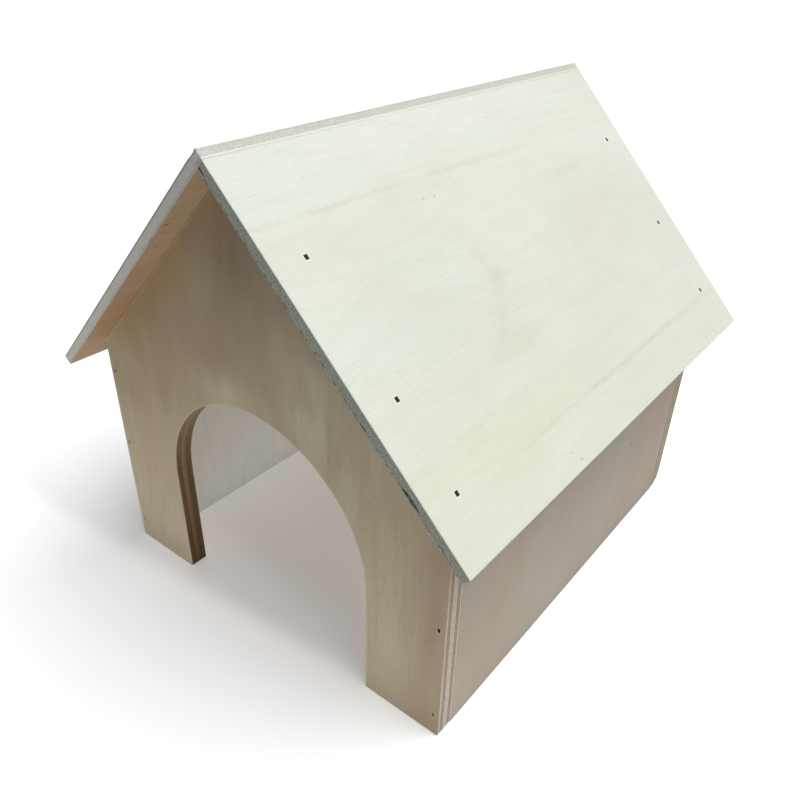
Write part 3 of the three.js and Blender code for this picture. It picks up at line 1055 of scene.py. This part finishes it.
GABLE_MARKS = (
    streak(66 * MM, 0.0, 0.7 * MM, 0.5, 5.0, 170 * MM, 22 * MM),
    streak(58 * MM, 0.02, 2.2 * MM, 0.3, 8.0, 150 * MM, 40 * MM),
    streak(92 * MM, 0.0, 1.2 * MM, 0.25, 14.0, 165 * MM, 30 * MM),
    streak(22 * MM, 0.0, 2.4 * MM, 0.3, 18.0, 110 * MM, 40 * MM),
    streak(128 * MM, 0.0, 0.8 * MM, 0.3, 24.0, 140 * MM, 30 * MM),
    streak(142 * MM, 0.0, 0.6 * MM, 0.35, 29.0, 115 * MM, 26 * MM),
    streak(184 * MM, 0.0, 0.8 * MM, 0.35, 35.0, 40 * MM, 45 * MM),
    streak(12 * MM, 0.0, 1.4 * MM, 0.2, 41.0, 40 * MM, 40 * MM),
    # painted shade at the right foot
    smudge(12 * MM, 190 * MM, 20 * MM, 12 * MM, 0.35),
)
PINKISH = srgb(188, 164, 152)
SIDE_PATCHES = (
    # the first three lie just under the eaves: painted shade there, in a pinkish tone
    Patch(114 * MM, 50 * MM, 9 * MM, 14 * MM, 0.0, PINKISH, 0.5),
    Patch(112 * MM, 116 * MM, 12 * MM, 18 * MM, 0.2, PINKISH, 0.5),
    Patch(108 * MM, 192 * MM, 20 * MM, 16 * MM, 0.3, PINKISH, 0.6),
    Patch(60 * MM, 204 * MM, 60 * MM, 6 * MM, 0.0, PINKISH, 0.5),
    Patch(88 * MM, 78 * MM, 30 * MM, 16 * MM, 0.5, srgb(184, 178, 158), 0.5),
    Patch(50 * MM, 100 * MM, 60 * MM, 70 * MM, 0.0, srgb(174, 167, 155), 0.6),
    Patch(95 * MM, 22 * MM, 20 * MM, 20 * MM, 0.0, srgb(194, 186, 168), 0.6),
)
ROOF_PATCHES = (
    Patch(52 * MM, 75 * MM, 46 * MM, 32 * MM, 0.0, srgb(222, 232, 219), 0.6),
    Patch(30 * MM, 130 * MM, 66 * MM, 20 * MM, 0.0, srgb(228, 230, 205), 0.6),
    Patch(178 * MM, 78 * MM, 56 * MM, 34 * MM, 0.0, srgb(227, 222, 210), 0.6),
    Patch(245 * MM, 95 * MM, 30 * MM, 60 * MM, 0.0, srgb(228, 230, 222), 0.5),
    Patch(100 * MM, 6 * MM, 130 * MM, 14 * MM, 0.0, srgb(240, 243, 236), 0.8),
    Patch(69 * MM, 22 * MM, 9 * MM, 14 * MM, 0.0, srgb(224, 226, 208), 0.3),
    Patch(84 * MM, 104 * MM, 22 * MM, 8 * MM, 0.0, srgb(222, 224, 200), 0.35),
)
SLOPE = math.radians(45)  # between the gable's grain and its slopes
ORANGE_BROWN = srgb(186, 136, 88)
GABLE_PATCHES = (
    Patch(134 * MM, 140 * MM, 34 * MM, 28 * MM, 0.0, srgb(238, 234, 206), 0.95),
    Patch(123 * MM, 84 * MM, 10 * MM, 26 * MM, 0.0, srgb(236, 222, 194), 0.75),
    Patch(100 * MM, 154 * MM, 24 * MM, 9 * MM, 0.0, srgb(232, 228, 200), 0.6),
    # these two along the left slope are partly the veneer's tone, partly painted shade under the roof
    Patch(160 * MM, 50 * MM, 56 * MM, 8 * MM, SLOPE, ORANGE_BROWN, 0.4),
    Patch(190 * MM, 73 * MM, 9 * MM, 6 * MM, SLOPE, ORANGE_BROWN, 0.5),
    Patch(184 * MM, 77 * MM, 28 * MM, 7 * MM, 0.0, srgb(178, 164, 156), 0.6),
    # these two, under the peak and along the right slope, are painted shade under the roof
    Patch(192 * MM, 98 * MM, 34 * MM, 19 * MM, 0.0, srgb(128, 110, 90), 0.75),
    Patch(176 * MM, 124 * MM, 44 * MM, 9 * MM, -SLOPE, srgb(152, 142, 122), 0.6),
    Patch(126 * MM, 36 * MM, 34 * MM, 24 * MM, 0.0, srgb(172, 152, 112), 0.7),
    Patch(66 * MM, 18 * MM, 26 * MM, 18 * MM, 0.0, srgb(204, 182, 152), 0.5),
    Patch(100 * MM, 10 * MM, 15 * MM, 24 * MM, 0.0, srgb(176, 154, 124), 0.5),
    Patch(58 * MM, 170 * MM, 52 * MM, 11 * MM, 0.0, srgb(242, 228, 188), 0.6),
    Patch(75 * MM, 194 * MM, 80 * MM, 7 * MM, 0.0, srgb(190, 162, 140), 0.65),
    # painted shade at the right foot
    Patch(6 * MM, 190 * MM, 14 * MM, 16 * MM, 0.0, srgb(184, 156, 136), 0.5),
    Patch(8 * MM, 20 * MM, 10 * MM, 26 * MM, 0.0, srgb(206, 182, 160), 0.5),
)
SIDE_MARKS = (
    pin_knot(62 * MM, 157 * MM, 0.9 * MM, 1.0),
    pin_knot(74 * MM, 42 * MM, 0.6 * MM, 0.8),
)


def fresh_wood(name, pale, dark):
    """Newly torn fibres: pale, with darker upright strands."""
    wiring = Wiring(name, roughness=TORN_ROUGHNESS, Specular_IOR_Level=WOOD_SPECULAR)
    place = wiring.node("TexCoord", {}).outputs["Object"]
    strands = wiring.noise(place, STRAND_SIZE, STRAND_SEED)
    wiring.paint(wiring.blend(wiring.spread(strands, *STRAND_INK), pale, dark))
    wiring.emboss(wiring.times(strands, RIM_RELIEF))
    return wiring.material


def brad_steel(name, steel):
    """Dull wire with upright drawn streaks and darker oxide in patches."""
    wiring = Wiring(name, roughness=STEEL_ROUGHNESS, Metallic=STEEL_METALLIC)
    place = wiring.node("TexCoord", {}).outputs["Object"]
    streaks = wiring.noise(place, DRAWN_SIZE, DRAWN_SEED)
    oxide = wiring.spread(wiring.noise(place, OXIDE_SIZE, OXIDE_SEED, FINE), *OXIDE_INK)
    dark = [part * OXIDE_DARKNESS for part in steel[:3]] + [1.0]
    wiring.paint(wiring.blend(oxide, steel, dark))
    wiring.feed(wiring.shader.inputs["Roughness"], wiring.spread(streaks, *DRAWN_ROUGHNESS))
    return wiring.material


def background_rays(tree):
    """1 for the rays on which the background counts: straight from the camera, mirrored or let
    through."""
    path = tree.nodes.new("ShaderNodeLightPath")
    first = path.outputs["Is Camera Ray"]
    for name in ("Is Glossy Ray", "Is Transmission Ray"):
        either = tree.nodes.new("ShaderNodeMath")
        either.operation = "MAXIMUM"
        tree.links.new(first, either.inputs[0])
        tree.links.new(path.outputs[name], either.inputs[1])
        first = either.outputs[0]
    return first


# ---------------------------------------------------------------------------------------------
# Operators
# ---------------------------------------------------------------------------------------------


LOOKS = {  # how strongly a face's rings and fibres show, and how its warm shade grows
    "left_roof": {"rings": 0.05, "fibres": 0.11, "warming": (0.6, 1.5), "start": -0.18},
    "right_roof": {"rings": 0.04, "fibres": 0.11, "warming": (0.6, 1.5), "start": -0.18},
    "soffit": {"rings": 0.07, "fibres": 0.1, "warming": (0, 3.0), "start": -0.22},
    # the gables' warm shade grows upwards: painted shade under the roof
    "gable": {"rings": 0.16, "fibres": 0.26, "warming": (4.2, -1.0), "start": -0.46},
    "side": {"rings": 0.07, "fibres": 0.09},
    "lining": {"rings": 0.05, "fibres": 0.08},
}


def picked(shades, *names):
    """The named colours, each as a plain tuple."""
    return tuple(tuple(getattr(shades, name)) for name in names)


def wall_rim(shades, light, dark):
    """Five plies, each with its grain across the last one's, so light and dark change places where
    the rim turns a corner."""
    light, dark, glue = picked(shades, light, dark, "glue")
    beside, across = (light, dark, light, dark, light), (dark, light, dark, light, dark)
    return Rim(WALL_JOINTS, beside, across, glue, glue, glue, face_pores=0.6)


def roof_rims(shades):
    """The left sheet's pale sawn edges, and the right sheet's darker and more ragged ones."""
    face, face_end, core, glue = picked(shades, "veneer_edge", "veneer_end", "core", "core_dark")
    side, end = picked(shades, "core_side", "core_pale")
    pores = picked(shades, "core_grey", "core_open")
    left = (face, side, face), (face_end, end, face), glue, *pores
    right = (face, core, face), (face, core, face), glue, glue, glue
    return {
        "left": Rim(ROOF_JOINTS, *left, face_pores=0.3, ragged=0.25),
        "right": Rim(ROOF_JOINTS, *right, face_pores=1.0, ragged=0.95),
    }


def finish_piece(piece, material):
    piece.data.materials.append(material)


class HOUSE_OT_roof_sheets(Operator):
    """Both roof sheets, with their sawn front edges torn in places"""

    bl_idname = "dog_house.roof_sheets"
    bl_label = "Roof sheets"

    def execute(self, context):
        sizes, shades = context.scene.house_sizes, context.scene.house_colours
        tones = picked(shades, "roof", "roof_warm", "roof_figure")
        soffit = picked(shades, "soffit", "soffit_warm", "soffit_figure")
        inner = Veneer(*soffit, **LOOKS["soffit"])
        rims = roof_rims(shades)
        for place, side in (("left", -1), ("right", 1)):
            board = roof_board(f"{place}_roof", side)
            tears = ROOF_TEARS[place]
            fine = np.concatenate([torn_stations(tear) for tear in tears])
            plane = sheet_plane(board, sizes.step, fine)
            marks, soffit_marks = (ROOF_MARKS, ()) if place == "right" else (LEFT_ROOF_MARKS, SOFFIT_MARKS)
            piece = panel(f"{place}_roof_sheet", board, plane, ROOF_JOINTS, ROOF_TORN, tears)
            patches = ROOF_PATCHES if place == "right" else ()
            faces = Veneer(*tones, **LOOKS[f"{place}_roof"], patches=patches), inner
            name, seed = f"{place}_roof_plywood", ROOF_SEEDS[place]
            ply = plywood(name, board.thick, *faces, rims[place], seed, marks, soffit_marks)
            finish_piece(piece, ply)
        return {"FINISHED"}


def rubbed_foot(board, radius):
    """The gable's right foot is rubbed round from its outer face to its bottom. The rounding fades
    towards the left as half a cosine over RUBBED_WIDTH."""

    def shape(points):
        side_on = points[:, [0, 2]]
        rounded = round_corner(side_on, [0, 0], [1, 1], radius)
        nearness = np.clip(1 - (board.across - points[:, 1]) / RUBBED_WIDTH, 0, 1)
        share = (1 - np.cos(math.pi * nearness)) / 2
        side_on = side_on + (rounded - side_on) * share[:, None]
        return np.stack([side_on[:, 0], points[:, 1], side_on[:, 1]], axis=1)

    return shape


class HOUSE_OT_gables(Operator):
    """The front gable with its round-topped doorway, and the closed back gable"""

    bl_idname = "dog_house.gables"
    bl_label = "Gables"

    def execute(self, context):
        sizes, shades = context.scene.house_sizes, context.scene.house_colours
        tones = picked(shades, "gable", "gable_warm_and_shade", "figure")
        rims = {
            "front": wall_rim(shades, "ply_light", "ply_dark"),
            "back": wall_rim(shades, "worn_light", "worn_dark"),
        }
        for place, end, lay_out in (("front", -1, front_gable_plane), ("back", 1, back_gable_plane)):
            board = gable_board(f"{place}_wall", end)
            plane = seat_under_roof(lay_out(board, sizes.step), board)
            plane = round_corner(plane, [0, 0], [1, 1], sizes.foot)
            plane = round_corner(plane, [0, board.across], [1, -1], sizes.crisp_foot)
            # the front gable's doorway wear and painted shade, or the back gable's painted shade at the foot
            worn = door_wear_and_shade(board) if place == "front" else shaded_foot
            rubbed = None if place == "front" else rubbed_foot(board, sizes.worst_foot)
            piece = panel(f"{place}_gable", board, plane, WALL_JOINTS, WALL_TORN, patina_and_shade=worn, shape=rubbed)
            patches = GABLE_PATCHES if place == "front" else ()
            veneer = Veneer(*tones, **LOOKS["gable"], patches=patches)
            marks = GABLE_MARKS if place == "front" else ()
            name, seed = f"{place}_gable_plywood", GABLE_SEEDS[place]
            ply = plywood(name, board.thick, veneer, veneer, rims[place], seed, marks)
            finish_piece(piece, ply)
        return {"FINISHED"}


def shaded_foot(points):
    """Painted shade: a wall darkens towards the ground as an exponential of the height."""
    return 1 - FOOT_SHADE * np.exp(-points[:, :1] / FOOT_SHADE_REACH)


def sawn_slopes(board):
    """The outer arris of the gable's slopes is paler, by a bell curve of the distance below it."""

    def tint(points):
        top = EAVES + np.minimum(points[:, 1], board.across - points[:, 1]) * math.tan(PITCH)
        below = (top - points[:, 0]) * math.cos(PITCH)
        on_face = points[:, 2] < SLOPE_REACH
        pale = SLOPE_PALENESS * np.exp(-((below / SLOPE_REACH) ** 2)) * on_face
        return 1 + pale[:, None]

    return tint


def door_wear_and_shade(board):
    """The doorway's edge is browned by its cutter and darkened with painted shade, deepest towards the
    ground; less on some plies; and sanded pale along the outer arris except on the left. Each fades as
    an exponential of the distance to the edge, and the paler plies are bell curves of the depth."""
    half_door, jamb = doorway()

    def tint(points):
        across = points[:, 1] - board.across / 2
        above = np.maximum(points[:, 0] - jamb, 0)
        from_edge = np.maximum(np.hypot(across, above) - half_door, 0)
        inside = np.clip((points[:, 2] - BURN_AND_SHADE_START) / BURN_AND_SHADE_START, 0, 1)
        inside = inside * (points[:, 2] < board.thick - BURN_AND_SHADE_END)
        lowness = np.clip(1 - points[:, 0] / (jamb + half_door), 0, 1)
        burnt_and_shaded = np.exp(-from_edge / BURN_AND_SHADE_REACH) * inside
        rightness = np.clip(1 + SANDED_FADE * across / half_door, 0, 1)
        sanded = np.exp(-from_edge / SANDED_REACH) * np.exp(-points[:, 2] / BURN_AND_SHADE_START) * rightness
        # the cutter's burn and painted shade, darker towards the ground
        burn_and_shade = np.array(BURN_AND_SHADE_TINT) * (1 - lowness[:, None] * BURN_AND_SHADE_LOW)
        for place, width, paler in BURN_BANDS:
            away = (points[:, 2] / board.thick - place) / width
            burn_and_shade *= 1 + paler * np.exp(-(away**2))[:, None]
        worn = (1 - burnt_and_shaded[:, None] * (1 - burn_and_shade)) * (1 + sanded[:, None] * SANDED_PALENESS)
        return worn * shaded_foot(points) * sawn_slopes(board)(points)

    return tint


class HOUSE_OT_side_walls(Operator):
    """The two side walls between the gables"""

    bl_idname = "dog_house.side_walls"
    bl_label = "Side walls"

    def execute(self, context):
        sizes, shades = context.scene.house_sizes, context.scene.house_colours
        rim = wall_rim(shades, "ply_light", "ply_dark")
        outer_tones = picked(shades, "side", "side_warm", "side_figure")
        outer = Veneer(*outer_tones, **LOOKS["side"], patches=SIDE_PATCHES)
        inner = Veneer(*picked(shades, "lining", "lining", "side_figure"), **LOOKS["lining"])
        for place, side in (("left", -1), ("right", 1)):
            board = wall_board(f"{place}_wall", side)
            plane = sheet_plane(board, sizes.step)
            # dark pits and painted shade at the foot
            piece = panel(f"{place}_side_wall", board, plane, WALL_JOINTS, WALL_TORN, patina_and_shade=shaded_foot)
            marks = SIDE_MARKS if place == "right" else ()
            name, seed = f"{place}_side_plywood", SIDE_SEEDS[place]
            ply = plywood(name, board.thick, outer, inner, rim, seed, marks)
            finish_piece(piece, ply)
        return {"FINISHED"}


def slivers(starts, tips, widths):
    """Tapered slivers: a flattened square section carried from each start to its tip, its half width
    falling as width * (1 - t) ^ SLIVER_TAPER with t the share of the way, never quite to nothing."""
    way = tips - starts
    aside = np.cross(way, BACK)
    aside /= np.linalg.norm(aside, axis=1, keepdims=True)
    over = np.cross(way, aside)
    over /= np.linalg.norm(over, axis=1, keepdims=True)
    t = np.linspace(0, 1, SLIVER_RINGS)
    half = widths[:, None] * np.maximum(1 - t, SLIVER_POINT) ** SLIVER_TAPER
    around = math.tau * (np.arange(SLIVER_CORNERS) + 0.5) / SLIVER_CORNERS
    flat = SLIVER_FLATNESS * np.sin(around)
    section = np.cos(around)[:, None] * aside[:, None] + flat[:, None] * over[:, None]
    middle = starts[:, None] + t[:, None] * way[:, None]
    points = (middle[:, :, None] + half[..., None, None] * section[:, None]).reshape(-1, 3)

    index = np.arange(len(points)).reshape(len(starts), SLIVER_RINGS, SLIVER_CORNERS)
    after = np.roll(index, -1, axis=2)
    sides = np.stack([index[:, :-1], index[:, 1:], after[:, 1:], after[:, :-1]], axis=-1).reshape(-1, 4)
    caps = np.concatenate([index[:, 0], index[:, -1, ::-1]])
    return points, np.concatenate([sides, caps])


class HOUSE_OT_splinters(Operator):
    """Pale slivers that hang below the right roof sheet's sawn front edge"""

    bl_idname = "dog_house.splinters"
    bl_label = "Splinters"

    def execute(self, context):
        board = roof_board("right_roof", 1)
        across, lean, drop, width = np.array(SPLINTERS).T * MM
        inset = np.full(len(across), SPLINTER_INSET)
        root = np.full(len(across), board.thick - SPLINTER_ROOT)
        starts = board.world(np.stack([inset, across, root], axis=1))
        tips = board.world(np.stack([inset, across + lean, board.thick + drop], axis=1))
        points, quads = slivers(starts, tips, width)
        piece = put_mesh("splinters", points, facing_out(points, quads))
        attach(piece, "root")
        wood = fresh_wood("fresh_wood", *picked(context.scene.house_colours, "veneer_edge", "glue"))
        finish_piece(piece, wood)
        return {"FINISHED"}


class HOUSE_OT_brads(Operator):
    """A steel for every brad, which keeps its CAD shape"""

    bl_idname = "dog_house.brads"
    bl_label = "Brads"

    def execute(self, context):
        steel = brad_steel("brad_steel", tuple(context.scene.house_colours.steel))
        for brad in BRADS:
            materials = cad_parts[brad].data.materials
            materials.clear()
            materials.append(steel)
        return {"FINISHED"}


class HOUSE_OT_studio(Operator):
    """Floor, world, soft overhead light and camera"""

    bl_idname = "dog_house.studio"
    bl_label = "Studio"

    def execute(self, context):
        studio = context.scene.house_studio
        floor = lay_floor()
        floor.data.materials.append(floor_paint(studio))
        light_world(context.scene, studio)
        hang_key_light(studio)
        stand_camera(context.scene)
        context.scene.view_settings.view_transform = "Standard"
        return {"FINISHED"}


def lay_floor():
    """A square plane as a grid of corners FLOOR_REACH away from the middle."""
    corners = np.array([[-1, -1, 0], [1, -1, 0], [1, 1, 0], [-1, 1, 0]]) * FLOOR_REACH
    return put_mesh("floor", corners.astype(float), np.array([[0, 1, 2, 3]]))


def floor_paint(studio):
    """The camera sees the floor's own colour and a lift, lower under and behind the house, which paints
    shade there. The house gets the bounce colour's light, and a glow from the floor round it, as on a
    light table."""
    wiring = Wiring("floor_paint", roughness=FLOOR_ROUGHNESS, Specular_IOR_Level=0.0)
    seen = background_rays(wiring.tree)
    wiring.paint(wiring.blend(seen, tuple(studio.bounce), tuple(studio.floor)))
    place = wiring.node("TexCoord", {}).outputs["Object"]
    distance = wiring.node("VectorMath", {0: place, 1: GLOW_MIDDLE}, operation="DISTANCE").outputs["Value"]
    glow = wiring.spread(distance, GLOW_NEAR, GLOW_FAR, studio.glow, 0.0)
    depth = wiring.node("VectorMath", {0: place, 1: LIFT_ALONG}, operation="DOT_PRODUCT").outputs["Value"]
    lift = wiring.spread(depth, LIFT_FRONT, LIFT_SHADE_WHOLE, studio.lift, studio.lift_shaded)
    strength = wiring.node("Mix", {0: seen, 2: glow, 3: lift}, data_type="FLOAT").outputs[0]
    wiring.shader.inputs["Emission Color"].default_value = (1, 1, 1, 1)
    wiring.feed(wiring.shader.inputs["Emission Strength"], strength)
    return wiring.material


def light_world(scene, studio):
    """White where it is seen, and a plain soft light for everything else."""
    scene.world = bpy.data.worlds.new("studio")
    scene.world.use_nodes = True
    tree = scene.world.node_tree
    background = tree.nodes["Background"]
    background.inputs["Color"].default_value = (1, 1, 1, 1)
    strength = tree.nodes.new("ShaderNodeMapRange")
    strength.inputs["To Min"].default_value = studio.sky
    strength.inputs["To Max"].default_value = 1.0
    tree.links.new(background_rays(tree), strength.inputs["Value"])
    tree.links.new(strength.outputs["Result"], background.inputs["Strength"])


def hang_key_light(studio):
    """A far lamp so wide that its shadows are soft."""
    lamp = bpy.data.lights.new("key", "SUN")
    lamp.energy = studio.key
    lamp.angle = KEY_SPREAD
    holder = bpy.data.objects.new("key", lamp)
    holder.rotation_mode = "QUATERNION"
    holder.rotation_quaternion = Vector(KEY_FROM).to_track_quat("Z", "Y")
    bpy.context.scene.collection.objects.link(holder)


def stand_camera(scene):
    """The camera is aimed level at its point, then rolled."""
    camera = bpy.data.cameras.new("camera")
    camera.lens = CAMERA_LENS
    camera.shift_x, camera.shift_y = CAMERA_SHIFT
    holder = bpy.data.objects.new("camera", camera)
    place, aim = Vector(CAMERA_PLACE), Vector(CAMERA_AIM)
    level = (aim - place).to_track_quat("-Z", "Y")
    holder.rotation_mode = "QUATERNION"
    holder.rotation_quaternion = level @ Quaternion((0, 0, 1), CAMERA_ROLL)
    holder.location = place
    scene.collection.objects.link(holder)
    scene.camera = holder


PIECES = (
    HOUSE_OT_roof_sheets,
    HOUSE_OT_gables,
    HOUSE_OT_side_walls,
    HOUSE_OT_splinters,
    HOUSE_OT_brads,
    HOUSE_OT_studio,
)


class HOUSE_PT_sidebar(Panel):
    """The dog house's pieces and what can be changed about them"""

    bl_idname = "HOUSE_PT_sidebar"
    bl_label = "Dog house"
    bl_space_type = "VIEW_3D"
    bl_region_type = "UI"
    bl_category = "Dog house"

    def draw(self, context):
        for piece in PIECES:
            self.layout.operator(piece.bl_idname)
        for group in (context.scene.house_sizes, context.scene.house_colours, context.scene.house_studio):
            box = self.layout.box()
            for name in group.__annotations__:
                box.prop(group, name)


CLASSES = (HouseSizes, HouseColours, HouseStudio, *PIECES, HOUSE_PT_sidebar)


def register():
    for kind in CLASSES:
        bpy.utils.register_class(kind)
    bpy.types.Scene.house_sizes = PointerProperty(type=HouseSizes)
    bpy.types.Scene.house_colours = PointerProperty(type=HouseColours)
    bpy.types.Scene.house_studio = PointerProperty(type=HouseStudio)


def unregister():
    del bpy.types.Scene.house_studio
    del bpy.types.Scene.house_colours
    del bpy.types.Scene.house_sizes
    for kind in reversed(CLASSES):
        bpy.utils.unregister_class(kind)


def main():
    register()
    bpy.ops.dog_house.roof_sheets()
    bpy.ops.dog_house.gables()
    bpy.ops.dog_house.side_walls()
    bpy.ops.dog_house.splinters()
    bpy.ops.dog_house.brads()
    bpy.ops.dog_house.studio()


if __name__ == "__main__":
    main()
